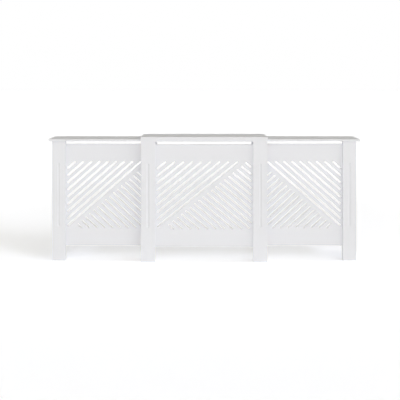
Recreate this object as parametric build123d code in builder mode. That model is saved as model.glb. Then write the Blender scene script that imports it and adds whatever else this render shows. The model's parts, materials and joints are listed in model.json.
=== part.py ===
from build123d import *
import os
from math import atan2, degrees, inf

os.makedirs("parts", exist_ok=True)

# Radiator cover in three telescopic sections, in millimetres.  +X runs along the cover,
# +Y towards the wall, +Z up.  The origin is on the floor under the middle of the cover,
# halfway between its face and the wall.  The side sections are drawn pulled right out.

# Overall sizes
height = 810.0  # floor to the top face of the centre section
depth = 190.0  # wall to the face of the centre stiles
extended_width = 2030.0  # over the noses of the side tops
centre_width = 822.0

# Boards
board = 15.0  # tops, stiles, fascia and end panels
panel_board = 12.0  # grille panels
centre_stile_width = 94.0
side_stile_width = 88.0
arris = 1.0  # eased edges of the stiles and of the centre top
front_overhang = 11.0  # side top past the face of the side stile
end_overhang = 22.0  # side top past the outside of the end panel
nose_radius = 3.5  # rounded edges of the side tops
air_slot = 18.0  # open height between a top and the rail under it
foot_gap = 94.0  # open height under the bottom rails
top_rail = 115.5  # solid height of a panel over its grille
bottom_rail = 119.0  # solid height of a panel under its grille
shoulder_width = 56.0  # inner end of a side panel, which carries the side top

# Clearances between the sections
top_gap = 1.0  # side top under the centre top
fascia_gap = 1.0  # side top behind the fascia
shoulder_gap = 1.0  # side top over the shoulders of the centre panel
guide_gap = 0.5  # side panel in its guides
stop_gap = 1.0  # shoulder of a side panel to the guide that stops it

# Routed groove in the face of each stile
groove_width = 18.0
groove_depth = 4.5
groove_drop = 7.5  # top of the groove under the top of the grille
groove_rise = 10.0  # bottom of the groove over the bottom of the grille

# Cut slots of the grilles
slot_width = 9.5
shortest_slot = 24.0
rib = 36.0  # solid band along the longest slot, from its centreline
corner_gap = 8.0  # centreline of the longest slot to the corner of the grille
centre_grille_margin = 9.0  # grille to the inner edge of the centre stile
centre_long_angle = 38.75
centre_long_pitch = 36.6
centre_short_angle = 39.4
centre_short_pitch = 34.9
centre_first_short = 27.7  # first short slot to the upper corner of the grille
side_grille_margin = 8.5  # grille to the inner edge of the side stile
side_grille_hidden = 6.0  # grille that runs on behind the centre stile
side_long_angle = 41.1
side_long_pitch = 35.3
side_short_angle = 42.3
side_short_pitch = 34.1
side_first_short = 75.6

# Guides that carry the side panels behind the centre stiles
guide_width = 40.0
guide_inset = 4.0  # guide behind the outer edge of the centre stile
guide_wall = 10.0
guide_flange = 70.0  # height of the flange that is screwed to the centre panel
guide_lip = 32.0  # height of the lip behind the side panel
guide_screw_spacing = 20.0

# Felt strips let into the underside of the centre top
felt_width = 12.0
felt_length = 80.0
felt_inset = 10.0  # end of the strip to the end of the centre top
felt_groove = 2.0
felt_proud = 0.6

# Dowels
dowel_radius = 3.0
dowel_tail = 14.0  # depth of a dowel in the edge of an upright board
dowel_cover = 5.0  # wood left over the end of a dowel in the face of a board
dowel_spacing = 50.0

# Screws
screw_radius = 2.0
screw_head_radius = 4.0
screw_head_height = 2.5
screw_point = 4.0
screw_cover = 5.0  # wood left over the point of a screw
pan_head_height = 1.8
panel_screw_inset = 25.0  # panel screws to the inner edge of the stile
panel_screw_low = 60.0  # lowest screw in the rails over the bottom edge of the panel
panel_screw_drop = 40.0  # highest screw in the rails under their top edge

# Corner blocks and wall brackets, inside each end of the cover
block_size = 20.0
block_length = 36.0
block_inset = 30.0  # middle of a block to the panel in front or to the wall
block_screw_spacing = 18.0
bracket_leg = 30.0
bracket_height = 44.0
bracket_steel = 2.0
bracket_hole_radius = 2.5
bracket_hole_spacing = 24.0
bracket_drop = 90.0  # underside of the side top to the middle of the wall bracket

# Depths that follow from these sizes
front = -depth / 2
back = depth / 2
centre_panel_face = front + board
centre_panel_back = centre_panel_face + panel_board
side_top_front = front + board + fascia_gap
side_face = side_top_front + front_overhang
side_panel_face = side_face + board
side_panel_back = side_panel_face + panel_board

# Heights that follow
centre_underside = height - board
side_underside = centre_underside - top_gap - board
centre_shoulder = side_underside - shoulder_gap
rail_top = side_underside - air_slot
grille_top = rail_top - top_rail
grille_bottom = foot_gap + bottom_rail
fascia_height = centre_underside - side_underside

# Widths that follow, from the middle of the cover
centre_end = centre_width / 2
centre_stile_middle = centre_end - centre_stile_width / 2
centre_stile_inner = centre_end - centre_stile_width
side_top_end = extended_width / 2
side_end = side_top_end - end_overhang
side_stile_middle = side_end - side_stile_width / 2
side_stile_inner = side_end - side_stile_width
end_panel_inner = side_end - board
guide_outer = centre_end - guide_inset
guide_inner = guide_outer - guide_width
shoulder_end = guide_inner - stop_gap
side_inner = shoulder_end - shoulder_width


def save(piece, name):
    """Label one finished piece and write it to its own file."""
    piece.part.label = name
    export_step(piece.part, f"parts/{name}.step")


def save_pair(piece, name, section=""):
    """Write a right-hand piece and its mirror image on the left."""
    save(piece, f"{section}right_{name}")
    with BuildPart() as twin:
        mirror(piece.part, about=Plane.YZ)
    save(twin, f"{section}left_{name}")


def facing(y):
    """Plane at depth y, seen from the front; a negative extrusion goes towards the wall."""
    return Plane.XZ.offset(-y)


def spread(low, high, count):
    """Evenly spaced values between low and high, both included."""
    return [low + (high - low) * step / (count - 1) for step in range(count)]


# --- Grille pattern -----------------------------------------------------------------------


def clip(normal, distance, sides):
    """Ends of the line at this distance along normal, inside every half-plane of sides."""
    along = Vector(normal.Y, -normal.X)
    foot = normal * distance
    start, end = -inf, inf
    for outward, limit in sides:
        rate = outward.dot(along)
        reach = limit - outward.dot(foot)
        if rate > 0:
            end = min(end, reach / rate)
        else:
            start = max(start, reach / rate)
    return foot + along * start, foot + along * end


def family(normal, first, pitch, sides, corner):
    """Slots one pitch apart across the region, from the line called first to the corner."""
    slots = []
    distance = first
    while (corner - distance) * pitch > 0:
        start, end = clip(normal, distance, sides)
        if (end - start).dot(Vector(normal.Y, -normal.X)) > shortest_slot:
            slots.append((start, end))
        distance += pitch
    return slots


def chevron(half, long_angle, long_pitch, short_angle, short_pitch, first_short):
    """Slots of one grille, about its middle: long ones rise to the right over the longest
    diagonal, and short ones fall away from the solid rib under it."""
    long_normal = Vector(0, 1).rotate(Axis.Z, long_angle)
    short_normal = Vector(0, 1).rotate(Axis.Z, -short_angle)
    edges = [
        (Vector(1, 0), half),
        (Vector(-1, 0), half),
        (Vector(0, 1), grille_top),
        (Vector(0, -1), -grille_bottom),
    ]
    longest = long_normal.dot(Vector(-half, grille_bottom)) + corner_gap
    upper_left = long_normal.dot(Vector(-half, grille_top))
    below_rib = edges + [(long_normal, longest - rib)]
    first = short_normal.dot(Vector(half, grille_top)) - first_short
    lower_left = short_normal.dot(Vector(-half, grille_bottom))
    long_slots = family(long_normal, longest, long_pitch, edges, upper_left)
    short_slots = family(short_normal, first, -short_pitch, below_rib, lower_left)
    return long_slots + short_slots


def cut_slots(slots, middle, lean):
    """Cut slots with round ends in a sketch; lean -1 turns the pattern left to right."""
    for start, end in slots:
        run = end - start
        centre = (start + end) / 2
        tilt = degrees(atan2(run.Y, lean * run.X))
        with Locations((middle + lean * centre.X, centre.Y)):
            SlotOverall(run.length, slot_width, rotation=tilt, mode=Mode.SUBTRACT)


# --- Fasteners ----------------------------------------------------------------------------

towards_front = (90, 0, 0)
towards_right = (0, 90, 0)
upwards = (0, 0, 0)


def shank(length):
    """Half section of a screw's shank and point, from the underside of its head."""
    return [
        (screw_radius, 0),
        (screw_radius, length - screw_point),
        (0, length),
        (0, 0),
    ]


def countersunk_screw(length):
    """Wood screw along +Z, with the flat of its head at the origin."""
    with BuildPart() as screw:
        with BuildSketch(Plane.XZ):
            with BuildLine():
                Polyline(*shank(length), close=True)
            make_face()
            with BuildLine():
                Polyline(
                    (0, 0),
                    (screw_head_radius, 0),
                    (screw_radius, screw_head_height),
                    (0, screw_head_height),
                    close=True,
                )
            make_face()
        revolve(axis=Axis.Z)
    return screw.part


def pan_screw(length):
    """Screw along +Z, with the low round head behind the origin."""
    with BuildPart() as screw:
        with BuildSketch(Plane.XZ):
            with BuildLine():
                Polyline(*shank(length), close=True)
            make_face()
            with BuildLine():
                Line((0, 0), (screw_head_radius, 0))
                TangentArc(
                    (0, -pan_head_height), (screw_head_radius, 0), tangent=(1, 0)
                )
                Line((0, -pan_head_height), (0, 0))
            make_face()
        revolve(axis=Axis.Z)
    return screw.part


# --- Centre section -----------------------------------------------------------------------

dowel_seat = board - dowel_cover
stile_core = front + board / 2  # halfway through the stiles and the fascia
stile_dowel_places = [-dowel_spacing / 2, dowel_spacing / 2]

# Long dowels pass through the fascia into the stiles; short ones hold it between them.
with BuildPart() as centre_dowels:
    for side in (-1, 1):
        for place in stile_dowel_places:
            x = side * centre_stile_middle + place
            with Locations((x, stile_core, side_underside - dowel_tail)):
                Cylinder(
                    dowel_radius,
                    dowel_tail + fascia_height + dowel_seat,
                    align=(Align.CENTER, Align.CENTER, Align.MIN),
                )
    for x in spread(-centre_stile_inner / 2, centre_stile_inner / 2, 3):
        with Locations((x, stile_core, centre_underside)):
            Cylinder(dowel_radius, 2 * dowel_seat)
save(centre_dowels, "centre_dowels")

rail_screw_heights = spread(foot_gap + panel_screw_low, rail_top - panel_screw_drop, 3)
panel_screw_heights = [foot_gap / 2] + rail_screw_heights
panel_screw_length = board + panel_board - screw_cover

with BuildPart() as centre_panel_screws:
    for side in (-1, 1):
        x = side * (centre_stile_inner + panel_screw_inset)
        for z in panel_screw_heights:
            with Locations(Location((x, centre_panel_back, z), towards_front)):
                add(countersunk_screw(panel_screw_length))
save(centre_panel_screws, "centre_panel_screws")

# Guides: a flange on the back of the centre panel, a bridge past the edge of the side
# panel and a lip behind it.
guide_middle = (guide_inner + guide_outer) / 2
guide_flange_back = side_panel_face - guide_gap
guide_lip_face = side_panel_back + guide_gap
upper_bridge = rail_top + guide_gap
lower_bridge = foot_gap - guide_gap
guide_screw_reach = (guide_flange + guide_lip) / 2  # halfway between the lip and the end
guide_screw_heights = [lower_bridge + guide_screw_reach, upper_bridge - guide_screw_reach]
guide_screw_length = guide_flange_back - centre_panel_face - screw_cover

with BuildPart() as centre_guide_screws:
    for side in (-1, 1):
        for place in (-guide_screw_spacing / 2, guide_screw_spacing / 2):
            for z in guide_screw_heights:
                x = side * guide_middle + place
                with Locations(Location((x, guide_flange_back, z), towards_front)):
                    add(countersunk_screw(guide_screw_length))
save(centre_guide_screws, "centre_guide_screws")


def guide(edge, way):
    """Guide round one edge of the side panel; way is 1 over its top and -1 under it."""
    lip_back = guide_lip_face + guide_wall
    with BuildPart() as piece:
        with BuildSketch(Plane.YZ.offset(guide_inner)):
            with BuildLine():
                Polyline(
                    (centre_panel_back, edge + way * guide_wall),
                    (lip_back, edge + way * guide_wall),
                    (lip_back, edge - way * guide_lip),
                    (guide_lip_face, edge - way * guide_lip),
                    (guide_lip_face, edge),
                    (guide_flange_back, edge),
                    (guide_flange_back, edge - way * guide_flange),
                    (centre_panel_back, edge - way * guide_flange),
                    close=True,
                )
            make_face()
        extrude(amount=guide_width)
        add(centre_guide_screws.part, mode=Mode.SUBTRACT)
    return piece


save_pair(guide(upper_bridge, 1), "upper_guide", "centre_")
save_pair(guide(lower_bridge, -1), "lower_guide", "centre_")


def cut_groove(middle, face):
    """Rout a round-bottomed groove with rounded ends in a stile whose face is at y."""
    cutter = (groove_width**2 / 4 + groove_depth**2) / (2 * groove_depth)
    low = grille_bottom + groove_rise + groove_width / 2
    high = grille_top - groove_drop - groove_width / 2
    cutter_y = face + groove_depth - cutter
    with Locations((middle, cutter_y, (low + high) / 2)):
        Cylinder(cutter, high - low, mode=Mode.SUBTRACT)
    with Locations((middle, cutter_y, low), (middle, cutter_y, high)):
        Sphere(cutter, mode=Mode.SUBTRACT)


with BuildPart() as centre_stile:
    with BuildSketch(facing(front)):
        with Locations((centre_stile_middle, 0)):
            Rectangle(centre_stile_width, side_underside, align=(Align.CENTER, Align.MIN))
    extrude(amount=-board)
    fillet(centre_stile.faces().sort_by(Axis.Y)[0].edges().filter_by(Axis.Z), arris)
    cut_groove(centre_stile_middle, front)
    add(centre_dowels.part, mode=Mode.SUBTRACT)
    add(centre_panel_screws.part, mode=Mode.SUBTRACT)
save_pair(centre_stile, "stile", "centre_")

# One board, cut to leave a leg and a shoulder behind each stile.
centre_grille_half = centre_stile_inner - centre_grille_margin
centre_slots = chevron(
    centre_grille_half,
    centre_long_angle,
    centre_long_pitch,
    centre_short_angle,
    centre_short_pitch,
    centre_first_short,
)
with BuildPart() as centre_grille_panel:
    with BuildSketch(facing(centre_panel_face)):
        Rectangle(centre_width, centre_shoulder, align=(Align.CENTER, Align.MIN))
        Rectangle(
            2 * centre_stile_inner,
            foot_gap,
            align=(Align.CENTER, Align.MIN),
            mode=Mode.SUBTRACT,
        )
        with Locations((0, rail_top)):
            Rectangle(
                2 * centre_stile_inner,
                centre_shoulder - rail_top,
                align=(Align.CENTER, Align.MIN),
                mode=Mode.SUBTRACT,
            )
        cut_slots(centre_slots, 0, 1)
    extrude(amount=-panel_board)
    add(centre_panel_screws.part, mode=Mode.SUBTRACT)
    add(centre_guide_screws.part, mode=Mode.SUBTRACT)
save(centre_grille_panel, "centre_grille_panel")

with BuildPart() as centre_fascia:
    with BuildSketch(facing(front)):
        with Locations((0, side_underside)):
            Rectangle(centre_width, fascia_height, align=(Align.CENTER, Align.MIN))
    extrude(amount=-board)
    add(centre_dowels.part, mode=Mode.SUBTRACT)
save(centre_fascia, "centre_fascia")

felt_y = (side_top_front + back) / 2
felt_x = centre_end - felt_inset - felt_length / 2
felt_align = (Align.CENTER, Align.CENTER, Align.MIN)

with BuildPart() as glide_strip:
    with Locations((felt_x, felt_y, centre_underside - felt_proud)):
        Box(felt_length, felt_width, felt_groove + felt_proud, align=felt_align)
save_pair(glide_strip, "glide_strip", "centre_")

with BuildPart() as centre_top:
    with BuildSketch(Plane.XY.offset(centre_underside)):
        Rectangle(centre_width, depth)
    extrude(amount=board)
    fillet(centre_top.faces().sort_by(Axis.Z)[-1].edges(), arris)
    with Locations((felt_x, felt_y, centre_underside), (-felt_x, felt_y, centre_underside)):
        Box(felt_length, felt_width, felt_groove, align=felt_align, mode=Mode.SUBTRACT)
    add(centre_dowels.part, mode=Mode.SUBTRACT)
save(centre_top, "centre_top")


# --- Side sections: the right one, and its mirror image on the left -------------------------

block_depths = [side_panel_back + block_inset, back - block_inset]
end_panel_core = side_end - board / 2
side_stile_core = side_face + board / 2
side_panel_core = side_panel_face + panel_board / 2
shoulder_middle = (side_inner + shoulder_end) / 2

# Upright dowels under the side top, and level ones from the stile into the end panel.
with BuildPart() as side_dowels:
    upright_places = [
        (side_stile_middle + place, side_stile_core) for place in stile_dowel_places
    ]
    upright_places += [(shoulder_middle, side_panel_core)]
    upright_places += [(end_panel_core, y) for y in block_depths]
    for x, y in upright_places:
        with Locations((x, y, side_underside - dowel_tail)):
            Cylinder(
                dowel_radius,
                dowel_tail + dowel_seat,
                align=(Align.CENTER, Align.CENTER, Align.MIN),
            )
    for z in rail_screw_heights:
        y = side_panel_face + (dowel_tail - dowel_seat) / 2
        with Locations(Location((end_panel_core, y, z), towards_front)):
            Cylinder(dowel_radius, dowel_seat + dowel_tail)
save_pair(side_dowels, "dowels")

with BuildPart() as side_panel_screws:
    x = side_stile_inner + panel_screw_inset
    for z in panel_screw_heights:
        with Locations(Location((x, side_panel_back, z), towards_front)):
            add(countersunk_screw(panel_screw_length))
save_pair(side_panel_screws, "panel_screws")

block_inner = end_panel_inner - block_size
block_low = side_underside - block_size
with BuildPart() as block_screws:
    for y in block_depths:
        up = (block_inner + block_size / 2, y - block_screw_spacing / 2, block_low)
        across = (block_inner, y + block_screw_spacing / 2, block_low + block_size / 2)
        with Locations(Location(up, upwards), Location(across, towards_right)):
            add(countersunk_screw(block_size + board - screw_cover))
save_pair(block_screws, "block_screws")

bracket_middle = side_underside - bracket_drop
bracket_hole_heights = [
    bracket_middle - bracket_hole_spacing / 2,
    bracket_middle + bracket_hole_spacing / 2,
]
bracket_plate = end_panel_inner - bracket_steel
bracket_leg_middle = (bracket_leg + bracket_steel) / 2  # from the corner of the angle
with BuildPart() as bracket_screws:
    for z in bracket_hole_heights:
        place = (bracket_plate, back - bracket_leg_middle, z)
        with Locations(Location(place, towards_right)):
            add(pan_screw(bracket_steel + board - screw_cover))
save_pair(bracket_screws, "bracket_screws")

with BuildPart() as side_stile:
    with BuildSketch(facing(side_face)):
        with Locations((side_stile_middle, 0)):
            Rectangle(side_stile_width, side_underside, align=(Align.CENTER, Align.MIN))
    extrude(amount=-board)
    fillet(side_stile.faces().sort_by(Axis.Y)[0].edges().filter_by(Axis.Z), arris)
    cut_groove(side_stile_middle, side_face)
    add(side_dowels.part, mode=Mode.SUBTRACT)
    add(side_panel_screws.part, mode=Mode.SUBTRACT)
save_pair(side_stile, "stile")

# The outer end of this board runs from the floor to the side top.  Its inner end is a
# shoulder that carries the side top and stops against the upper guide.
side_grille_inner = centre_end - side_grille_hidden
side_grille_outer = side_stile_inner - side_grille_margin
side_slots = chevron(
    (side_grille_outer - side_grille_inner) / 2,
    side_long_angle,
    side_long_pitch,
    side_short_angle,
    side_short_pitch,
    side_first_short,
)
with BuildPart() as side_grille_panel:
    with BuildSketch(facing(side_panel_face)):
        with Locations((side_inner, foot_gap)):
            Rectangle(
                end_panel_inner - side_inner,
                side_underside - foot_gap,
                align=(Align.MIN, Align.MIN),
            )
        with Locations((side_stile_inner, 0)):
            Rectangle(
                end_panel_inner - side_stile_inner,
                side_underside,
                align=(Align.MIN, Align.MIN),
            )
        with Locations((shoulder_end, rail_top)):
            Rectangle(
                side_stile_inner - shoulder_end,
                air_slot,
                align=(Align.MIN, Align.MIN),
                mode=Mode.SUBTRACT,
            )
        cut_slots(side_slots, (side_grille_inner + side_grille_outer) / 2, -1)
    extrude(amount=-panel_board)
    add(side_dowels.part, mode=Mode.SUBTRACT)
    add(side_panel_screws.part, mode=Mode.SUBTRACT)
save_pair(side_grille_panel, "grille_panel")

with BuildPart() as end_panel:
    with BuildSketch(Plane.XY):
        with Locations((end_panel_inner, side_panel_face)):
            Rectangle(board, back - side_panel_face, align=(Align.MIN, Align.MIN))
    extrude(amount=side_underside)
    add(side_dowels.part, mode=Mode.SUBTRACT)
    add(block_screws.part, mode=Mode.SUBTRACT)
    add(bracket_screws.part, mode=Mode.SUBTRACT)
save_pair(end_panel, "end_panel")

with BuildPart() as side_top:
    with BuildSketch(Plane.XY.offset(side_underside)):
        with Locations((side_inner, side_top_front)):
            Rectangle(
                side_top_end - side_inner,
                back - side_top_front,
                align=(Align.MIN, Align.MIN),
            )
    extrude(amount=board)
    front_edges = side_top.edges().group_by(Axis.Y)[0]
    end_edges = side_top.edges().group_by(Axis.X)[-1]
    inner_edges = side_top.edges().group_by(Axis.X)[0]
    wall_edges = side_top.edges().group_by(Axis.Y)[-1]
    fillet(front_edges + end_edges - inner_edges - wall_edges, nose_radius)
    add(side_dowels.part, mode=Mode.SUBTRACT)
    add(block_screws.part, mode=Mode.SUBTRACT)
save_pair(side_top, "top")

with BuildPart() as corner_blocks:
    for y in block_depths:
        with Locations((block_inner, y, block_low)):
            Box(
                block_size,
                block_length,
                block_size,
                align=(Align.MIN, Align.CENTER, Align.MIN),
            )
    add(block_screws.part, mode=Mode.SUBTRACT)
save_pair(corner_blocks, "corner_blocks")

# Steel angle that ties the end panel to the wall; its wall leg lies in the back plane.
with BuildPart() as wall_bracket:
    with BuildSketch(Plane.XY.offset(bracket_middle - bracket_height / 2)):
        with Locations((end_panel_inner, back)):
            Rectangle(bracket_leg, bracket_leg, align=(Align.MAX, Align.MAX))
        with Locations((bracket_plate, back - bracket_steel)):
            Rectangle(
                bracket_leg - bracket_steel,
                bracket_leg - bracket_steel,
                align=(Align.MAX, Align.MAX),
                mode=Mode.SUBTRACT,
            )
    extrude(amount=bracket_height)
    inner_corner = (bracket_plate, back - bracket_steel, bracket_middle)
    upright_edges = wall_bracket.edges().filter_by(Axis.Z)
    fillet(upright_edges.sort_by_distance(inner_corner)[0], bracket_steel)
    for z in bracket_hole_heights:
        place = (end_panel_inner - bracket_leg_middle, back - bracket_steel / 2, z)
        with Locations(Location(place, towards_front)):
            Cylinder(bracket_hole_radius, bracket_steel, mode=Mode.SUBTRACT)
    add(bracket_screws.part, mode=Mode.SUBTRACT)
save_pair(wall_bracket, "wall_bracket")

print("slide each way, until the side sections meet:", side_inner)
print("middle of the wall holes:", end_panel_inner - bracket_leg_middle, back, bracket_middle)
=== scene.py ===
"""Studio scene of a telescopic radiator cover.

Three sections of white-painted fibreboard stand on a pale floor.  Every board is a closed surface
worked out with numpy: its outline, slots, screw holes and routed groove are contours in the plane
of the board, and a rounded edge is carried along each of them.  The screws are worked out too,
with their cross recesses.  All other fittings keep their construction meshes, in finishes of
their own.
"""

from __future__ import annotations

import json
import logging
from dataclasses import dataclass, field
from enum import Enum
from typing import Any, Sequence

import bpy
import numpy as np
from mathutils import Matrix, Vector
from mathutils.geometry import delaunay_2d_cdt

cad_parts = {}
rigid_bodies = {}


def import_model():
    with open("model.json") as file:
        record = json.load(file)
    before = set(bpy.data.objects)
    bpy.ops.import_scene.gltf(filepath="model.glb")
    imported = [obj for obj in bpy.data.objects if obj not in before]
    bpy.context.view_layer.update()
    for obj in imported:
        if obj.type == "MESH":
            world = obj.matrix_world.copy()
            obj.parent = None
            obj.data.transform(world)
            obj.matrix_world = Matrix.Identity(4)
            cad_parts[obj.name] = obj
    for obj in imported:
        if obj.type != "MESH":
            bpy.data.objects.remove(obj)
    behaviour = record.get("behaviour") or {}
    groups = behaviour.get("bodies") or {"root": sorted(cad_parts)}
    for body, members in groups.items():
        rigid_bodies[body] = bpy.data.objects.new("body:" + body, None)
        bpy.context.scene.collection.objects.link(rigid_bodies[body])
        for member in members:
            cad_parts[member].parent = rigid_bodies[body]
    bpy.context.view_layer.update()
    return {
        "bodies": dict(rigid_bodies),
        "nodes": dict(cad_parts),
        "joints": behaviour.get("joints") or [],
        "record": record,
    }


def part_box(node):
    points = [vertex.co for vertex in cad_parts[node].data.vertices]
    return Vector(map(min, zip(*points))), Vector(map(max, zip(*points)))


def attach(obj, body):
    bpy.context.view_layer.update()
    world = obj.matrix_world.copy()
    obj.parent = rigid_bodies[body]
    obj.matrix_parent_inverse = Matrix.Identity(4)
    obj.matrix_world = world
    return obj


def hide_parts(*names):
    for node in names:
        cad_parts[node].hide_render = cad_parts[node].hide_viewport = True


Array = np.ndarray
Object = bpy.types.Object
Material = bpy.types.Material
Socket = bpy.types.NodeSocket
Pair = tuple[float, float]
Triple = tuple[float, float, float]
Colour = tuple[float, float, float, float]

LOG = logging.getLogger("radiator_cover")
MM = 0.001  # metres in a millimetre; the cover is worked out in millimetres
FLAT_CAP = 1  # kind of triangulation that keeps what lies inside the outer contour
CAP_TOLERANCE = 1e-6  # distance at which the triangulation takes two points as one
CORNER_STEPS = 4  # pieces in the arc at a corner of a board
TIP_STEPS = 10  # pieces in the half circle at the tip of a slot
BORE_STEPS = 32  # pieces in the circle of a bore
EASE_STEPS = 3  # pieces in the rounded edge of a board
GROOVE_STEPS = 6  # rings between the rim of a groove and the flat strip along its bottom
GROOVE_CUT = 0.5  # how much the bottom of a groove looks like a sawn edge
SAME_PLACE = 2  # decimals of a millimetre to which corners at one place agree
RIM_TOLERANCE = 0.05  # how far inside a screw's widest ring a corner is still taken as its own
WELD_METRES = 0.00001  # distance at which corners of a construction mesh are joined
BEVEL_OVER = 40.0  # degrees between two faces from which their edge is broken
BEVEL_STEPS = 2  # pieces in the rounded edge of a construction mesh
SHARP_OVER = 35.0  # degrees between two faces from which a screw's edge stays sharp
NOISE: Pair = (0.3, 0.7)  # range in which most values of a noise lie


class Side(Enum):
    """The two ends of the cover, by the sign of their X."""

    LEFT = -1
    RIGHT = 1

    @property
    def word(self) -> str:
        """The side's name as the node names spell it."""
        return self.name.lower()


class Facing(Enum):
    """How a board lies: where its own two axes run, which together give the way its face looks."""

    FRONT = ((1.0, 0.0, 0.0), (0.0, 0.0, 1.0))
    UP = ((1.0, 0.0, 0.0), (0.0, 1.0, 0.0))
    RIGHT = ((0.0, 1.0, 0.0), (0.0, 0.0, 1.0))

    @property
    def axes(self) -> Array:
        """Rows: along the board, up the board, and from its face into the wood."""
        along, up = np.array(self.value)
        return np.stack([along, up, -np.cross(along, up)])


class Blend(Enum):
    """What a node mixes, by the word that the node has for it."""

    COLOURS = "RGBA"
    NUMBERS = "FLOAT"


# --- Contours ---


@dataclass
class Contour:
    """A closed line in the plane of a board, walked with the wood on its left."""

    points: Array  # places along the line, shape (n, 2)
    normals: Array  # unit directions out of the wood, shape (n, 2)
    ease: Array  # radius of the board's rounded edge at each point, shape (n,)


def directions(angle: Array) -> Array:
    """Unit directions at these angles from the first axis, stacked along a new last axis."""
    return np.stack([np.cos(angle), np.sin(angle)], axis=-1)


def full_turn(count: int) -> Array:
    """Evenly spaced angles of a full turn."""
    return np.arange(count) * 2.0 * np.pi / count


def rectangle(low: Sequence[float], high: Sequence[float]) -> Array:
    """Corners of an upright rectangle, anticlockwise from its lower left."""
    return np.array([[low[0], low[1]], [high[0], low[1]], [high[0], high[1]], [low[0], high[1]]])


def rounded_polygon(corners: Array, radius: float, ease: Sequence[float] | float) -> Contour:
    """Closes straight edges with an arc at each corner.

    With m and n the normals of the edges that meet at a corner, and s +1 at an outer corner and
    -1 at an inner one, the arc's centre is corner - s r (m + n) / (1 + m.n), and its points lie
    s r from there along normals that turn evenly from m to n.

    Args:
        corners: Corners in walking order, shape (k, 2).
        radius: Radius of the arcs, in the plane of the board.
        ease: Radius of the rounded edge, one for all or one for each edge that leaves a corner.

    Returns:
        The contour.
    """
    runs = np.roll(corners, -1, axis=0) - corners
    runs = runs / np.linalg.norm(runs, axis=1, keepdims=True)
    after = np.stack([runs[:, 1], -runs[:, 0]], axis=1)
    before = np.roll(after, 1, axis=0)
    cross = before[:, 0] * after[:, 1] - before[:, 1] * after[:, 0]
    dot = np.sum(before * after, axis=1)
    turn = np.arctan2(cross, dot)
    reach = np.sign(turn) * radius
    centres = corners - (reach / (1.0 + dot))[:, None] * (before + after)
    share = np.linspace(0.0, 1.0, CORNER_STEPS + 1)
    first = np.arctan2(before[:, 1], before[:, 0])
    normals = directions(first[:, None] + turn[:, None] * share)
    points = centres[:, None] + reach[:, None, None] * normals
    leaving = np.broadcast_to(np.asarray(ease, float), (len(corners),))
    arriving = np.roll(leaving, 1)
    eases = arriving[:, None] + (leaving - arriving)[:, None] * share
    return Contour(points.reshape(-1, 2), normals.reshape(-1, 2), eases.ravel())


def round_ended(start: Array, end: Array, width: float, ease: float) -> Contour:
    """Outline of a slot with round ends, as a hole.

    Two half circles of half the width stand about the ends of the slot's centreline, and are
    walked clockwise, so the normals point at their centres.

    Args:
        start: One tip of the slot.
        end: The other tip.
        width: Width of the slot.
        ease: Radius of the rounded edge.

    Returns:
        The contour.
    """
    run = (end - start) / np.linalg.norm(end - start)
    ends = np.stack([end - run * width / 2, start + run * width / 2])
    quarter = np.linspace(0.5, -0.5, TIP_STEPS + 1) * np.pi
    spokes = directions(np.arctan2(run[1], run[0]) + np.stack([quarter, quarter - np.pi]))
    points = (ends[:, None] + spokes * width / 2).reshape(-1, 2)
    return Contour(points, -spokes.reshape(-1, 2), np.full(len(points), ease))


def bore(centre: Array, radius: float, ease: float) -> Contour:
    """Outline of a drilled hole: a circle, walked clockwise.

    Args:
        centre: Middle of the hole.
        radius: Radius of the hole.
        ease: Radius of the rounded edge.

    Returns:
        The contour.
    """
    spokes = directions(-full_turn(BORE_STEPS))
    return Contour(centre + spokes * radius, -spokes, np.full(BORE_STEPS, ease))


# --- Surfaces ---


def linked(name: str, data: Any) -> Object:
    """Makes an object at the origin and links it to the scene.

    Args:
        name: Name of the object.
        data: Its mesh, lamp or camera.

    Returns:
        The object.
    """
    made = bpy.data.objects.new(name, data)
    bpy.context.scene.collection.objects.link(made)
    return made


def smooth_object(name: str, corners: Array, faces: list[list[int]]) -> Object:
    """Makes a smooth-shaded mesh object at the origin.

    Args:
        name: Name of the object.
        corners: Corners in millimetres, shape (n, 3).
        faces: Numbers of each face's corners.

    Returns:
        The object, linked to the scene.
    """
    mesh = bpy.data.meshes.new(name)
    mesh.from_pydata((corners * MM).tolist(), [], faces)
    mesh.polygons.foreach_set("use_smooth", np.ones(len(faces), dtype=bool))
    mesh.update()
    return linked(name, mesh)


@dataclass
class Shell:
    """A surface in millimetres."""

    points: Array  # corners, shape (n, 3)
    normals: Array  # outward normals at the corners, shape (n, 3)
    cut: Array  # 1 on sawn and routed edges and 0 on the faces of the board, shape (n,)
    faces: list[Array]  # blocks of faces, each an array of shape (k, corners in a face)

    def placed(self, facing: Facing, face_at: float) -> Shell:
        """Turns board axes into the frame's.

        Args:
            facing: How the board lies.
            face_at: Place of the board's face along the direction in which it looks.

        Returns:
            The same surface in the frame's axes.
        """
        axes = facing.axes
        origin = -axes[2] * face_at
        return Shell(self.points @ axes + origin, self.normals @ axes, self.cut, self.faces)

    def on(self, side: Side) -> Shell:
        """Fits a surface of the right-hand side to either side.

        Args:
            side: Side of the cover.

        Returns:
            The surface itself on the right, and on the left its mirror image in X, with its
            faces turned to point outwards again.
        """
        if side is Side.RIGHT:
            return self
        flip = np.array([-1.0, 1.0, 1.0])
        faces = [block[:, ::-1] for block in self.faces]
        return Shell(self.points * flip, self.normals * flip, self.cut, faces)

    def as_object(self, name: str) -> Object:
        """Makes an object that is shaded by the worked-out normals and carries the cut values.

        Args:
            name: Name of the object.

        Returns:
            The object, linked to the scene, at the origin.
        """
        faces = [face for block in self.faces for face in block.tolist()]
        piece = smooth_object(name, self.points, faces)
        cut = piece.data.attributes.new("cut", "FLOAT", "POINT")
        cut.data.foreach_set("value", self.cut.astype(np.float32))
        piece.data.normals_split_custom_set_from_vertices(self.normals.tolist())
        return piece


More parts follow.
